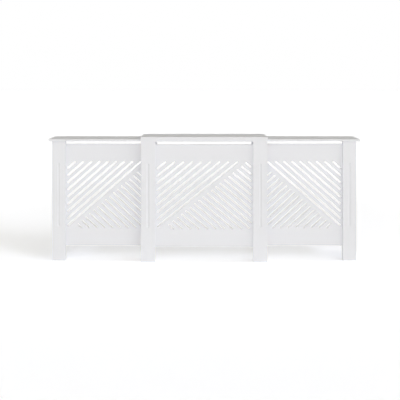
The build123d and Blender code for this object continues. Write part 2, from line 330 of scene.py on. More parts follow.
def ring_faces(rings: int, count: int) -> Array:
    """Closes the strips between neighbouring rings of points, numbered ring by ring.

    Args:
        rings: How many rings there are.
        count: Points in each ring.

    Returns:
        Corner numbers of the quads, shape (k, 4).
    """
    here = np.arange(count)
    following = (here + 1) % count
    base = np.arange(rings - 1)[:, None] * count
    quads = [base + here, base + count + here, base + count + following, base + following]
    return np.stack(quads, axis=-1).reshape(-1, 4)


def edge_rings(contour: Contour, thickness: float, back_ease: float) -> Shell:
    """Carries the edge of a board round a contour, from its face to its back.

    At t degrees round an eased edge of radius e, a ring is drawn into the wood by e (1 - sin t)
    and lies e (1 - cos t) below the face; its normal is the face's times cos t plus the
    contour's times sin t.  The back edge is the same in reverse.

    Args:
        contour: Line that the edge follows.
        thickness: Thickness of the board.
        back_ease: Radius of the rounded edge at the back.

    Returns:
        The open wall, in board axes, its rings numbered from the face.
    """
    turn = np.linspace(0.0, np.pi / 2, EASE_STEPS + 1)[:, None]
    sine, cosine = np.sin(turn), np.cos(turn)
    back = np.minimum(contour.ease, back_ease)
    inset = np.concatenate([contour.ease * (1 - sine), (back * (1 - sine))[::-1]])
    below = thickness - (back * (1 - cosine))[::-1]
    depth = np.concatenate([contour.ease * (1 - cosine), below])
    outward = np.concatenate([sine, sine[::-1]])
    inward = np.concatenate([-cosine, cosine[::-1]])
    flat = contour.points - contour.normals * inset[..., None]
    points = np.concatenate([flat, depth[..., None]], axis=-1)
    sideways = contour.normals * outward[..., None]
    normals = np.concatenate([sideways, np.broadcast_to(inward, depth.shape)[..., None]], -1)
    cut = np.broadcast_to(outward, depth.shape)
    faces = ring_faces(len(points), points.shape[1])
    return Shell(points.reshape(-1, 3), normals.reshape(-1, 3), cut.reshape(-1), [faces])


def dish_rings(contour: Contour, width: float, depth: float) -> Shell:
    """Routs a round-bottomed groove inside a contour.

    The cutter's radius is R = (w^2 / 4 + d^2) / 2d.  At an angle t from the bottom the groove is
    w / 2 - R sin t in from the contour and R cos t - (R - d) deep, and its normal points at the
    cutter's centre line.  The contour's ease breaks the rim, with a first ring on the face.

    Args:
        contour: Rim of the groove in the face of the board.
        width: Width of the groove.
        depth: Depth of the groove in its middle.

    Returns:
        The groove's surface, closed at the bottom, its rings numbered from the face.
    """
    half = width / 2
    cutter = (half**2 + depth**2) / (2 * depth)
    angle = np.arcsin(half / cutter) * np.linspace(1.0, 0.0, GROOVE_STEPS + 1, endpoint=False)
    inset = half - cutter * np.sin(angle)
    below = cutter * np.cos(angle) - (cutter - depth)
    inset = np.concatenate([[-float(contour.ease.max())], inset])[:, None, None]
    below = np.concatenate([[0.0], below])[:, None]
    tilt = np.concatenate([[0.0], angle])[:, None, None]
    rings, count = len(tilt), len(contour.points)
    flat = contour.points + contour.normals * inset
    points = np.concatenate([flat, np.broadcast_to(below, (rings, count))[..., None]], axis=-1)
    upright = np.broadcast_to(-np.cos(tilt), (rings, count, 1))
    normals = np.concatenate([contour.normals * np.sin(tilt), upright], axis=-1)
    bottom = np.arange((rings - 1) * count, rings * count)[::-1]
    cut = np.repeat(np.linspace(0.0, GROOVE_CUT, rings), count)
    faces = [ring_faces(rings, count), bottom[None]]
    return Shell(points.reshape(-1, 3), normals.reshape(-1, 3), cut, faces)


def between_loops(places: Array, starts: Array, ends: Array) -> Array:
    """Tells which places have wood under them.

    A place is on the wood if a line from it along the first axis crosses an odd number of edges,
    counted over the outer loop and all the holes.

    Args:
        places: Places in the plane of the board, shape (k, 2).
        starts: First ends of all the edges, shape (m, 2).
        ends: Their other ends, shape (m, 2).

    Returns:
        True for each place on the wood, shape (k,).
    """
    x, y = places[:, :1], places[:, 1:]
    straddles = (starts[:, 1] > y) != (ends[:, 1] > y)
    rise = np.where(ends[:, 1] == starts[:, 1], 1.0, ends[:, 1] - starts[:, 1])
    crossing = starts[:, 0] + (y - starts[:, 1]) * (ends[:, 0] - starts[:, 0]) / rise
    return (straddles & (crossing > x)).sum(axis=1) % 2 == 1


def flat_cap(loops: Sequence[Array], numbers: Sequence[Array]) -> Array:
    """Triangles of the flat face inside the first loop and outside all the others.

    Args:
        loops: Loops of points in the plane of the board, the outer one first.
        numbers: The points' numbers in the finished surface.

    Returns:
        Corner numbers of the triangles, anticlockwise, shape (k, 3).
    """
    sizes = np.array([len(loop) for loop in loops])
    starts = np.concatenate([[0], np.cumsum(sizes)[:-1]])
    owner = np.repeat(np.arange(len(loops)), sizes)
    here = np.arange(sizes.sum())
    following = np.where(here + 1 - starts[owner] == sizes[owner], starts[owner], here + 1)
    edges = np.stack([here, following], axis=1).tolist()
    places = np.concatenate(loops)
    flat = [Vector(place) for place in places.tolist()]
    _, _, faces, origins, _, _ = delaunay_2d_cdt(flat, edges, [], FLAT_CAP, CAP_TOLERANCE, True)
    triangles = np.array([origin[0] for origin in origins])[np.array(faces)]
    on_wood = between_loops(places[triangles].mean(axis=1), places, places[following])
    return np.concatenate(numbers)[triangles[on_wood]]


@dataclass
class Board:
    """A board cut from sheet: an outline, holes through it and grooves in its face."""

    outline: Contour  # outer edge, walked anticlockwise
    thickness: float  # thickness of the sheet
    holes: list[Contour] = field(default_factory=list)  # contours cut right through
    grooves: list[Contour] = field(default_factory=list)  # rims of routed grooves
    groove_width: float = 0.0  # width of the grooves
    groove_depth: float = 0.0  # depth of the grooves
    back_ease: float = 0.5  # radius of the rounded edges at the back

    def shell(self) -> Shell:
        """Joins the edges, the holes, the grooves and the two flat faces.

        Returns:
            The closed surface, in board axes.
        """
        through = [self.outline, *self.holes]
        walls = [edge_rings(line, self.thickness, self.back_ease) for line in through]
        dishes = [
            dish_rings(line, self.groove_width, self.groove_depth) for line in self.grooves
        ]
        parts = walls + dishes
        counts = [len(line.points) for line in [*through, *self.grooves]]
        starts = np.cumsum([0] + [len(part.points) for part in parts])
        firsts = [start + np.arange(count) for start, count in zip(starts, counts)]
        lasts = [stop - count + np.arange(count) for stop, count in zip(starts[1:], counts)]
        points, normals, cut = (
            np.concatenate([getattr(part, name) for part in parts])
            for name in ("points", "normals", "cut")
        )
        front = flat_cap([points[first, :2] for first in firsts], firsts)
        behind = lasts[: len(walls)]
        back = flat_cap([points[last, :2] for last in behind], behind)[:, ::-1]
        faces = [block + start for part, start in zip(parts, starts) for block in part.faces]
        return Shell(points, normals, cut, [*faces, front, back])


@dataclass(frozen=True)
class Chevron:
    """Pattern of a grille's slots, in millimetres and degrees.

    Long slots rise to the right over the longest diagonal, and short ones fall away from the
    solid rib under it.
    """

    long_angle: float  # rise of the long slots
    long_pitch: float  # distance between the long slots
    short_angle: float  # fall of the short slots
    short_pitch: float  # distance between the short slots
    first_short: float  # first short slot to the corner of the grille that it cuts off
    corner_gap: float = 8.0  # middle of the longest slot to the corner of the grille
    rib: float = 36.0  # middle of the longest slot to the tips of the short ones
    shortest: float = 24.0  # length that a slot has to pass to be cut

    def family(self, normal: Array, distances: Array, sides: Array, limits: Array) -> Array:
        """Clips the lines at these distances along a normal to every half-plane.

        A point of a line is n d + a t.  The half-plane s.p <= l lets t run up to
        (l - s.n d) / s.a where s.a is above 0, and down to it where it is below.

        Args:
            normal: Unit normal of the lines.
            distances: Distances of the lines from the origin, shape (k,).
            sides: Outward normals of the half-planes, shape (m, 2).
            limits: Their distances from the origin, shape (m,).

        Returns:
            Tips of the slots that are long enough, shape (j, 2, 2).
        """
        along = np.array([normal[1], -normal[0]])
        rate = sides @ along
        reach = (limits - np.outer(distances, sides @ normal)) / rate
        end = np.where(rate > 0, reach, np.inf).min(axis=1)
        start = np.where(rate < 0, reach, -np.inf).max(axis=1)
        keep = end - start > self.shortest
        feet = distances[keep, None, None] * normal
        return feet + np.stack([start, end], axis=1)[keep, :, None] * along

    def tips(self, half: float, bottom: float, top: float) -> Array:
        """Lays out a grille about the middle of its length.

        Args:
            half: Half its length.
            bottom: Height of its bottom.
            top: Height of its top.

        Returns:
            Tips of every slot, shape (k, 2, 2).
        """
        lean, fall = np.radians([self.long_angle, self.short_angle])
        long_normal = np.array([-np.sin(lean), np.cos(lean)])
        short_normal = np.array([np.sin(fall), np.cos(fall)])
        sides = np.array([[1.0, 0.0], [-1.0, 0.0], [0.0, 1.0], [0.0, -1.0]])
        limits = np.array([half, half, top, -bottom])
        longest = long_normal @ [-half, bottom] + self.corner_gap
        longs = np.arange(longest, long_normal @ [-half, top], self.long_pitch)
        first = short_normal @ [half, top] - self.first_short
        shorts = np.arange(first, short_normal @ [-half, bottom], -self.short_pitch)
        under = np.vstack([sides, long_normal])
        under_limits = np.append(limits, longest - self.rib)
        above = self.family(long_normal, longs, sides, limits)
        return np.concatenate([above, self.family(short_normal, shorts, under, under_limits)])


# --- Finishes ---


@dataclass(frozen=True)
class Grain:
    """Soft noise about 0.5."""

    scale: float  # features in a metre, more or less
    detail: float = 2.0  # how many finer layers are laid over it
    rough: float = 0.5  # strength of each layer beside the one before
    upright: float = 1.0  # features in the same height, as a share of those across it


class Wiring:
    """Short hand for wiring shader nodes."""

    def __init__(self, tree: bpy.types.NodeTree) -> None:
        """Empties the tree, to wire it anew."""
        tree.nodes.clear()
        self.tree = tree

    def feed(self, entry: Socket, value: Any) -> None:
        """Links an input to a socket, or sets it to a value.

        Args:
            entry: The input.
            value: The socket or the value.
        """
        if isinstance(value, Socket):
            self.tree.links.new(value, entry)
        else:
            entry.default_value = value

    def node(self, kind: str, inputs: dict[str | int, Any], **settings: Any) -> bpy.types.Node:
        """Adds a node.

        Args:
            kind: Node type, without its ShaderNode prefix.
            inputs: Values, or sockets to link, by the name or number of the input.
            settings: Properties of the node.

        Returns:
            The node.
        """
        made = self.tree.nodes.new(f"ShaderNode{kind}")
        for name, value in settings.items():
            setattr(made, name, value)
        for key, value in inputs.items():
            self.feed(made.inputs[key], value)
        return made

    def fold(self, operation: str, *values: Any) -> Socket:
        """Puts numbers together from left to right.

        Args:
            operation: Operation of the Math node.
            values: Numbers, or sockets that give them.

        Returns:
            The result.
        """
        total = values[0]
        for value in values[1:]:
            total = self.node("Math", {0: total, 1: value}, operation=operation).outputs[0]
        return total

    def sum(self, *values: Any) -> Socket:
        """Adds values together."""
        return self.fold("ADD", *values)

    def times(self, *values: Any) -> Socket:
        """Multiplies values together."""
        return self.fold("MULTIPLY", *values)

    def vector(self, operation: str, *values: Any) -> Socket:
        """Vector that an operation of the Vector Math node makes of some values."""
        return self.node("VectorMath", dict(enumerate(values)), operation=operation).outputs[0]

    def mix(self, factor: Any, first: Any, second: Any, kind: Blend = Blend.COLOURS) -> Socket:
        """Mixes two colours or two numbers.

        Args:
            factor: 0 for the first of them, 1 for the second.
            first: The first colour or number.
            second: The second.
            kind: Which of the two it mixes.

        Returns:
            The mixed colour or number.
        """
        made = self.node("Mix", {}, data_type=kind.value)
        entries = [entry for entry in made.inputs if entry.enabled]
        for entry, value in zip(entries, (factor, first, second)):
            self.feed(entry, value)
        return next(socket for socket in made.outputs if socket.enabled)

    def spread(self, value: Socket, target: Pair, source: Pair = NOISE, **settings: Any) -> Socket:
        """Maps a value from one range onto another, and holds it there.

        Args:
            value: The value.
            target: Range to map it onto.
            source: Range from which it is mapped.
            settings: Properties of the node.

        Returns:
            The mapped value.
        """
        inputs = {"Value": value, "From Min": source[0], "From Max": source[1]}
        inputs |= {"To Min": target[0], "To Max": target[1]}
        return self.node("MapRange", inputs, **settings).outputs["Result"]

    def place(self, scale: Triple = (1.0, 1.0, 1.0)) -> Socket:
        """Object coordinates in metres, stretched by scale."""
        coordinates = self.node("TexCoord", {}).outputs["Object"]
        return self.node("Mapping", {"Vector": coordinates, "Scale": scale}).outputs["Vector"]

    def noise(self, grain: Grain) -> Socket:
        """Wires a grain.

        Args:
            grain: The grain.

        Returns:
            Its values.
        """
        where = self.place((1.0, 1.0, grain.upright))
        values = {"Vector": where, "Scale": grain.scale}
        values |= {"Detail": grain.detail, "Roughness": grain.rough}
        return self.node("TexNoise", values).outputs["Fac"]

    def seen(self) -> Socket:
        """Tells by what kind of ray a place is seen.

        Returns:
            1 for rays from the camera, off a mirror or through glass, and 0 for all others.
        """
        ray = self.node("LightPath", {}).outputs
        kinds = ("Is Camera Ray", "Is Glossy Ray", "Is Transmission Ray")
        return self.fold("MAXIMUM", *(ray[kind] for kind in kinds))


class Recipe(Wiring):
    """Wiring of one material."""

    def __init__(self, name: str) -> None:
        """Starts an empty material.

        Args:
            name: Name of the material.
        """
        self.material = bpy.data.materials.new(name)
        self.material.use_nodes = True
        super().__init__(self.material.node_tree)

    def bump(self, height: Socket, metres: float, **under: Socket) -> Socket:
        """Normal of a surface raised by height times that many metres, over another Normal."""
        inputs = {"Height": height, "Distance": metres, **under}
        return self.node("Bump", inputs).outputs["Normal"]

    def closed(self, shader: Socket) -> Material:
        """Ends the material in that shader."""
        self.node("OutputMaterial", {"Surface": shader})
        return self.material

    def finish(
        self, colour: Socket, roughness: Socket, normal: Socket, rest: dict[str, Any]
    ) -> Material:
        """Ends the material in a Principled shader.

        Args:
            colour: Base colour.
            roughness: Roughness.
            normal: Normal of the surface.
            rest: Values of other inputs, by name.

        Returns:
            The material.
        """
        inputs = {"Base Color": colour, "Roughness": roughness, "Normal": normal, **rest}
        return self.closed(self.node("BsdfPrincipled", inputs).outputs[0])


def grey(level: float, green: float = 0.0, yellow: float = 0.0) -> Colour:
    """A colour near grey.

    Args:
        level: Its red share.
        green: How much more green than red it has, as a share.
        yellow: How much less blue than red it has, as a share.

    Returns:
        The colour, opaque.
    """
    return (level, level * (1.0 + green), level * (1.0 - yellow), 1.0)


@dataclass(frozen=True)
class WhitePaint:
    """Satin white paint, rolled on the faces and sprayed on the cut edges of fibreboard."""

    face: Colour = grey(0.84, 0.018, -0.09)  # shade of the faces
    edge: Colour = grey(0.837, 0.016, -0.078)  # shade of the cut edges
    cover: float = 0.8  # how much of the edges' own shade shows
    roughness: Pair = (0.57, 0.63)  # roughness on the faces, from least to most
    rougher: float = 0.16  # how much rougher the cut edges are
    gloss: float = 0.2  # strength of the reflection, where 0.5 is a full gloss paint
    peel: Grain = Grain(420.0, 2.0, 0.45)  # orange peel that the roller leaves
    peel_height: float = 0.00005  # height of the orange peel, in metres
    waves: Grain = Grain(38.0, 1.0)  # slow waves under it
    swell: float = 3.0  # height of the waves, as a multiple of the peel's
    fibres: Grain = Grain(2400.0, 4.0, 0.7)  # fibres that stand up from a cut edge
    fibre_height: float = 0.00006  # height of the fibres, in metres

    def material(self) -> Material:
        """Orange peel on the faces, and finer, rougher fibres where the board is cut.

        Returns:
            The material.
        """
        recipe = Recipe("white_paint")
        cut = recipe.node("Attribute", {}, attribute_name="cut").outputs["Fac"]
        peel = recipe.noise(self.peel)
        swell = recipe.times(recipe.noise(self.waves), self.swell)
        skin = recipe.bump(recipe.sum(peel, swell), self.peel_height)
        fibres = recipe.times(recipe.noise(self.fibres), cut)
        return recipe.finish(
            recipe.mix(recipe.times(cut, self.cover), self.face, self.edge),
            recipe.sum(recipe.spread(peel, self.roughness), recipe.times(cut, self.rougher)),
            recipe.bump(fibres, self.fibre_height, Normal=skin),
            {"Specular IOR Level": self.gloss},
        )


@dataclass(frozen=True)
class Beech:
    """Planed beech with the short dark flecks of its rays, the grain running upright."""

    pale: Colour = (0.70, 0.50, 0.32, 1.0)  # shade of the early wood
    dark: Colour = (0.52, 0.33, 0.19, 1.0)  # shade of the late wood and of the flecks
    roughness: Pair = (0.47, 0.65)  # roughness, from least to most
    streaks: Grain = Grain(260.0, 4.0, 0.6, 0.06)  # growth rings, cut lengthways
    late: Pair = (0.35, 0.75)  # values of the streaks between which the wood darkens
    darkest: float = 0.7  # how dark it gets, as a share of the dark shade
    rays: Grain = Grain(1300.0, 1.0, 0.5, 0.35)  # flecks of the rays
    fleck: Pair = (0.60, 0.72)  # values of the rays between which a fleck begins and is full
    fleck_share: float = 0.45  # share of the dark shade in a fleck
    fleck_depth: float = 0.45  # depth of a fleck beside the height of the streaks
    relief: float = 0.0001  # height of the streaks, in metres

    def material(self) -> Material:
        """Long streaks for the growth rings and short dashes for the flecks.

        Returns:
            The material.
        """
        recipe = Recipe("beech")
        streaks = recipe.noise(self.streaks)
        rings = recipe.spread(streaks, (0.0, self.darkest), self.late)
        flecks = recipe.spread(recipe.noise(self.rays), (0.0, 1.0), self.fleck)
        wood = recipe.mix(rings, self.pale, self.dark)
        height = recipe.sum(streaks, recipe.times(flecks, -self.fleck_depth))
        return recipe.finish(
            recipe.mix(recipe.times(flecks, self.fleck_share), wood, self.dark),
            recipe.spread(streaks, self.roughness),
            recipe.bump(height, self.relief),
            {},
        )


@dataclass(frozen=True)
class GreyFelt:
    """Pressed wool felt, a tangle of pale and dark fibres with a soft sheen."""

    dark: Colour = grey(0.17)  # shade of the darkest fibres
    pale: Colour = grey(0.36)  # shade of the palest fibres
    roughness: Pair = (0.88, 0.98)  # roughness, from least to most
    fibres: Grain = Grain(3200.0, 3.0, 0.7)  # the fibres
    tufts: Grain = Grain(520.0)  # tufts that they gather in
    tuft_share: float = 0.6  # strength of the tufts beside the fibres
    tangle: Pair = (0.5, 1.1)  # values of the two together from the darkest to the palest
    nap: float = 0.0003  # height of the fibres, in metres
    sheen: float = 0.4  # strength of the sheen

    def material(self) -> Material:
        """Fine noise in two sizes, in colour and bump.

        Returns:
            The material.
        """
        recipe = Recipe("grey_felt")
        fibres, tufts = recipe.noise(self.fibres), recipe.noise(self.tufts)
        both = recipe.sum(fibres, recipe.times(tufts, self.tuft_share))
        return recipe.finish(
            recipe.mix(recipe.spread(both, (0.0, 1.0), self.tangle), self.dark, self.pale),
            recipe.spread(tufts, self.roughness),
            recipe.bump(recipe.sum(fibres, tufts), self.nap),
            {"Sheen Weight": self.sheen},
        )


@dataclass(frozen=True)
class ZincPlate:
    """Bright zinc on steel, with faint crystals and drawing lines."""

    dark: Colour = grey(0.61, 0.01, -0.03)  # shade of the darkest crystals
    pale: Colour = grey(0.71, 0.01, -0.02)  # shade of the palest crystals
    # roughness, from that of the darkest crystals to that of the palest
    roughness: Pair = (0.24, 0.36)
    crystals: float = 420.0  # crystals in a metre
    lines: Grain = Grain(5200.0, upright=0.02)  # drawing lines
    line_share: float = 0.1  # how much they add to the roughness
    relief: float = 0.00002  # height of the lines, in metres

    def material(self) -> Material:
        """Cells for the crystals of the plate, and fine lines that brush the roughness.

        Returns:
            The material.
        """
        recipe = Recipe("zinc_plate")
        cells = recipe.node("TexVoronoi", {"Vector": recipe.place(), "Scale": self.crystals})
        shade = recipe.node("RGBToBW", {"Color": cells.outputs["Color"]}).outputs[0]
        lines = recipe.noise(self.lines)
        sheen = recipe.spread(shade, self.roughness, (0.0, 1.0))
        return recipe.finish(
            recipe.mix(shade, self.dark, self.pale),
            recipe.sum(sheen, recipe.times(lines, self.line_share)),
            recipe.bump(lines, self.relief),
            {"Metallic": 1.0},
        )


@dataclass(frozen=True)
class MouldedPlastic:
    """White moulded plastic with a fine spark-eroded grain."""

    dark: Colour = grey(0.76, 0.0, 0.02)  # darkest shade of the flow clouds
    pale: Colour = grey(0.80, 0.0, 0.01)  # palest shade of the flow clouds
    roughness: Pair = (0.5, 0.6)  # roughness, from least to most
    flow: Grain = Grain(60.0)  # clouds that the melt leaves
    sparks: Grain = Grain(1900.0)  # grain of the mould
    relief: float = 0.00004  # height of the grain, in metres
    glow: float = 0.05  # share of the light that enters
    depth: Triple = (0.002, 0.002, 0.002)  # how far it gets in red, green and blue, in metres

    def material(self) -> Material:
        """Fine grain in the bump, and flow clouds in colour and roughness.

        Returns:
            The material.
        """
        recipe = Recipe("moulded_plastic")
        flow = recipe.noise(self.flow)
        return recipe.finish(
            recipe.mix(flow, self.dark, self.pale),
            recipe.spread(flow, self.roughness),
            recipe.bump(recipe.noise(self.sparks), self.relief),
            {"Subsurface Weight": self.glow, "Subsurface Radius": self.depth},
        )


@dataclass
class Finishes:
    """The materials of the cover, made once and named as the record's slots are."""

    white_paint: Material
    beech: Material
    grey_felt: Material
    zinc_steel: Material
    white_plastic: Material

    @classmethod
    def mixed(cls) -> Finishes:
        """Makes one of each material."""
        kinds = (WhitePaint, Beech, GreyFelt, ZincPlate, MouldedPlastic)
        return cls(*(kind().material() for kind in kinds))


# --- Screws ---


def loose_parts(piece: Object) -> list[Array]:
    """Sorts the corners of a construction mesh by the solid that they belong to.

    Corners at one place are taken as one.  Each then takes the lowest number among the triangles
    that meet there, over and over, until a whole solid carries one number.

    Args:
        piece: Object of the node.

    Returns:
        The corners of each solid in millimetres, each of shape (n, 3).
    """
    mesh = piece.data
    local = np.empty(3 * len(mesh.vertices))
    mesh.vertices.foreach_get("co", local)
    turn = np.array(piece.matrix_world)
    corners = (local.reshape(-1, 3) @ turn[:3, :3].T + turn[:3, 3]) / MM
    places, number = np.unique(np.round(corners, SAME_PLACE), axis=0, return_inverse=True)
    order = np.empty(len(mesh.loops), dtype=np.int32)
    mesh.loops.foreach_get("vertex_index", order)
    triangles = number.ravel()[order].reshape(-1, 3)
    labels = np.arange(len(places))
    settled = False
    while not settled:
        following = labels.copy()
        lowest = labels[triangles].min(axis=1)
        np.minimum.at(following, triangles.ravel(), np.repeat(lowest, 3))
        settled = bool(np.array_equal(following, labels))
        labels = following
    return [places[labels == label] for label in np.unique(labels)]


@dataclass(frozen=True)
class Seat:
    """Where a screw is driven."""

    rim: Array  # middle of the widest ring of its head
    heading: Array  # unit direction from the head to the point
    length: float  # rim to point
    dome: float  # height of the head over its rim, which is 0 for a flat head

    @classmethod
    def of(cls, corners: Array) -> Seat:
        """Finds the seat from the corners of the plain screw.

        The screw lies along the longest side of its box, and its widest ring is near its head.

        Args:
            corners: Corners of the solid, shape (n, 3).

        Returns:
            The seat.
        """
        low, high = corners.min(axis=0), corners.max(axis=0)
        along = int(np.argmax(high - low))
        middle = (low + high) / 2
        reach = np.linalg.norm(np.delete(corners - middle, along, axis=1), axis=1)
        rim = float(np.mean(corners[reach > reach.max() - RIM_TOLERANCE, along]))
        gaps = (rim - low[along], high[along] - rim)
        heading = np.zeros(3)
        heading[along] = 1.0 if gaps[0] < gaps[1] else -1.0
        middle[along] = rim
        return cls(middle, heading, max(gaps), min(gaps))


@dataclass(frozen=True)
class CrossScrew:
    """A zinc-plated wood screw with a cross recess, in millimetres."""

    head: float = 4.0  # radius of the head
    sink: float = 2.5  # height of the cone under a flat head
    brim: float = 0.05  # thickness of the rim of a domed head
    shank: float = 2.0  # radius of the shank
    point: float = 4.0  # length of the point
    tip: float = 0.05  # radius at the very point
    arm: float = 0.55  # half the width of an arm of the cross
    reach: float = 2.3  # middle of the cross to the end of an arm
    deep: float = 1.5  # depth of the recess in the middle
    rise: float = 0.2  # how much the recess rises for each millimetre from the middle
    wall: float = 0.3  # breadth of the recess's sloping walls
    # first and last radius of the close rings over the recess, and how many there are
    fine: tuple[float, float, int] = (0.1, 2.8, 15)
    # first radius of the rings outside it, and how many there are
    coarse: tuple[float, int] = (3.1, 4)
    count: int = 48  # corners in a ring
    stop: float = 2.4  # turn from one screw to the next, in radians

    def recess(self, across: Array, up: Array) -> Array:
        """Depth of the cross recess.

        With n the smaller and f the larger of the two distances from the arms' middle lines, the
        depth is (deep - rise f), times ramps of the wall's breadth that fall from 1 to 0 about
        n = arm and f = reach.

        Args:
            across: Distances from one middle line.
            up: Distances from the other.

        Returns:
            The depth at each place.
        """
        near = np.minimum(np.abs(across), np.abs(up))
        far = np.maximum(np.abs(across), np.abs(up))
        inside = np.clip((self.arm - near) / self.wall + 0.5, 0.0, 1.0)
        inside = inside * np.clip((self.reach - far) / self.wall + 0.5, 0.0, 1.0)
        return inside * (self.deep - self.rise * far)

    def rings(self, seat: Seat) -> Array:
        """Rings of the screw, from the middle of its head to its point.

        Over its head the height is dome ((r / head)^2 - 1), a bowl that a flat head lacks, and the
        recess goes down from there.  Below, the rings follow the shank and the point, from under
        the cone of a flat head or the brim of a domed one.

        Args:
            seat: Where the screw sits.

        Returns:
            Corners with +Z from head to point, shape (rings, count, 3).
        """
        start, number = self.coarse
        radii = np.append(np.linspace(*self.fine), np.linspace(start, self.head, number))
        spokes = directions(full_turn(self.count))
        flat = radii[:, None, None] * spokes
        height = seat.dome * ((radii / self.head) ** 2 - 1.0)
        sunk = height[:, None] + self.recess(flat[..., 0], flat[..., 1])
        under = self.sink if seat.dome < self.brim else self.brim
        radius = np.array([self.shank, self.shank, self.tip])
        depth = np.array([under, seat.length - self.point, seat.length])
        level = np.broadcast_to(depth[:, None], (len(depth), self.count))
        points = np.concatenate([flat, radius[:, None, None] * spokes])
        return np.concatenate([points, np.concatenate([sunk, level])[..., None]], axis=-1)

    def driven(self, name: str, seats: Sequence[Seat]) -> Object:
        """Makes one object of all the screws of a node, each stopped at another angle.

        Args:
            name: Name of the object.
            seats: Where the screws sit.

        Returns:
            The object, linked to the scene, at the origin.
        """
        corners, faces, first = [], [], 0
        ring = np.arange(self.count)
        for number, seat in enumerate(seats):
            rings = self.rings(seat)
            side = np.roll(seat.heading, 1)
            other = np.cross(seat.heading, side)
            sine, cosine = np.sin(self.stop * number), np.cos(self.stop * number)
            axes = [cosine * side + sine * other, cosine * other - sine * side, seat.heading]
            corners.append(rings.reshape(-1, 3) @ np.stack(axes) + seat.rim)
            last = first + (len(rings) - 1) * self.count
            faces += (ring_faces(len(rings), self.count)[:, ::-1] + first).tolist()
            faces += [(first + ring[::-1]).tolist(), (last + ring).tolist()]
            first = last + self.count
        piece = smooth_object(name, np.concatenate(corners), faces)
        piece.data.set_sharp_from_angle(angle=np.radians(SHARP_OVER))
        return piece


# --- The cover ---


def box_mm(node: str) -> tuple[Array, Array]:
    """Lowest and highest corner of a node, in millimetres."""
    low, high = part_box(node)
    return np.array(low) / MM, np.array(high) / MM


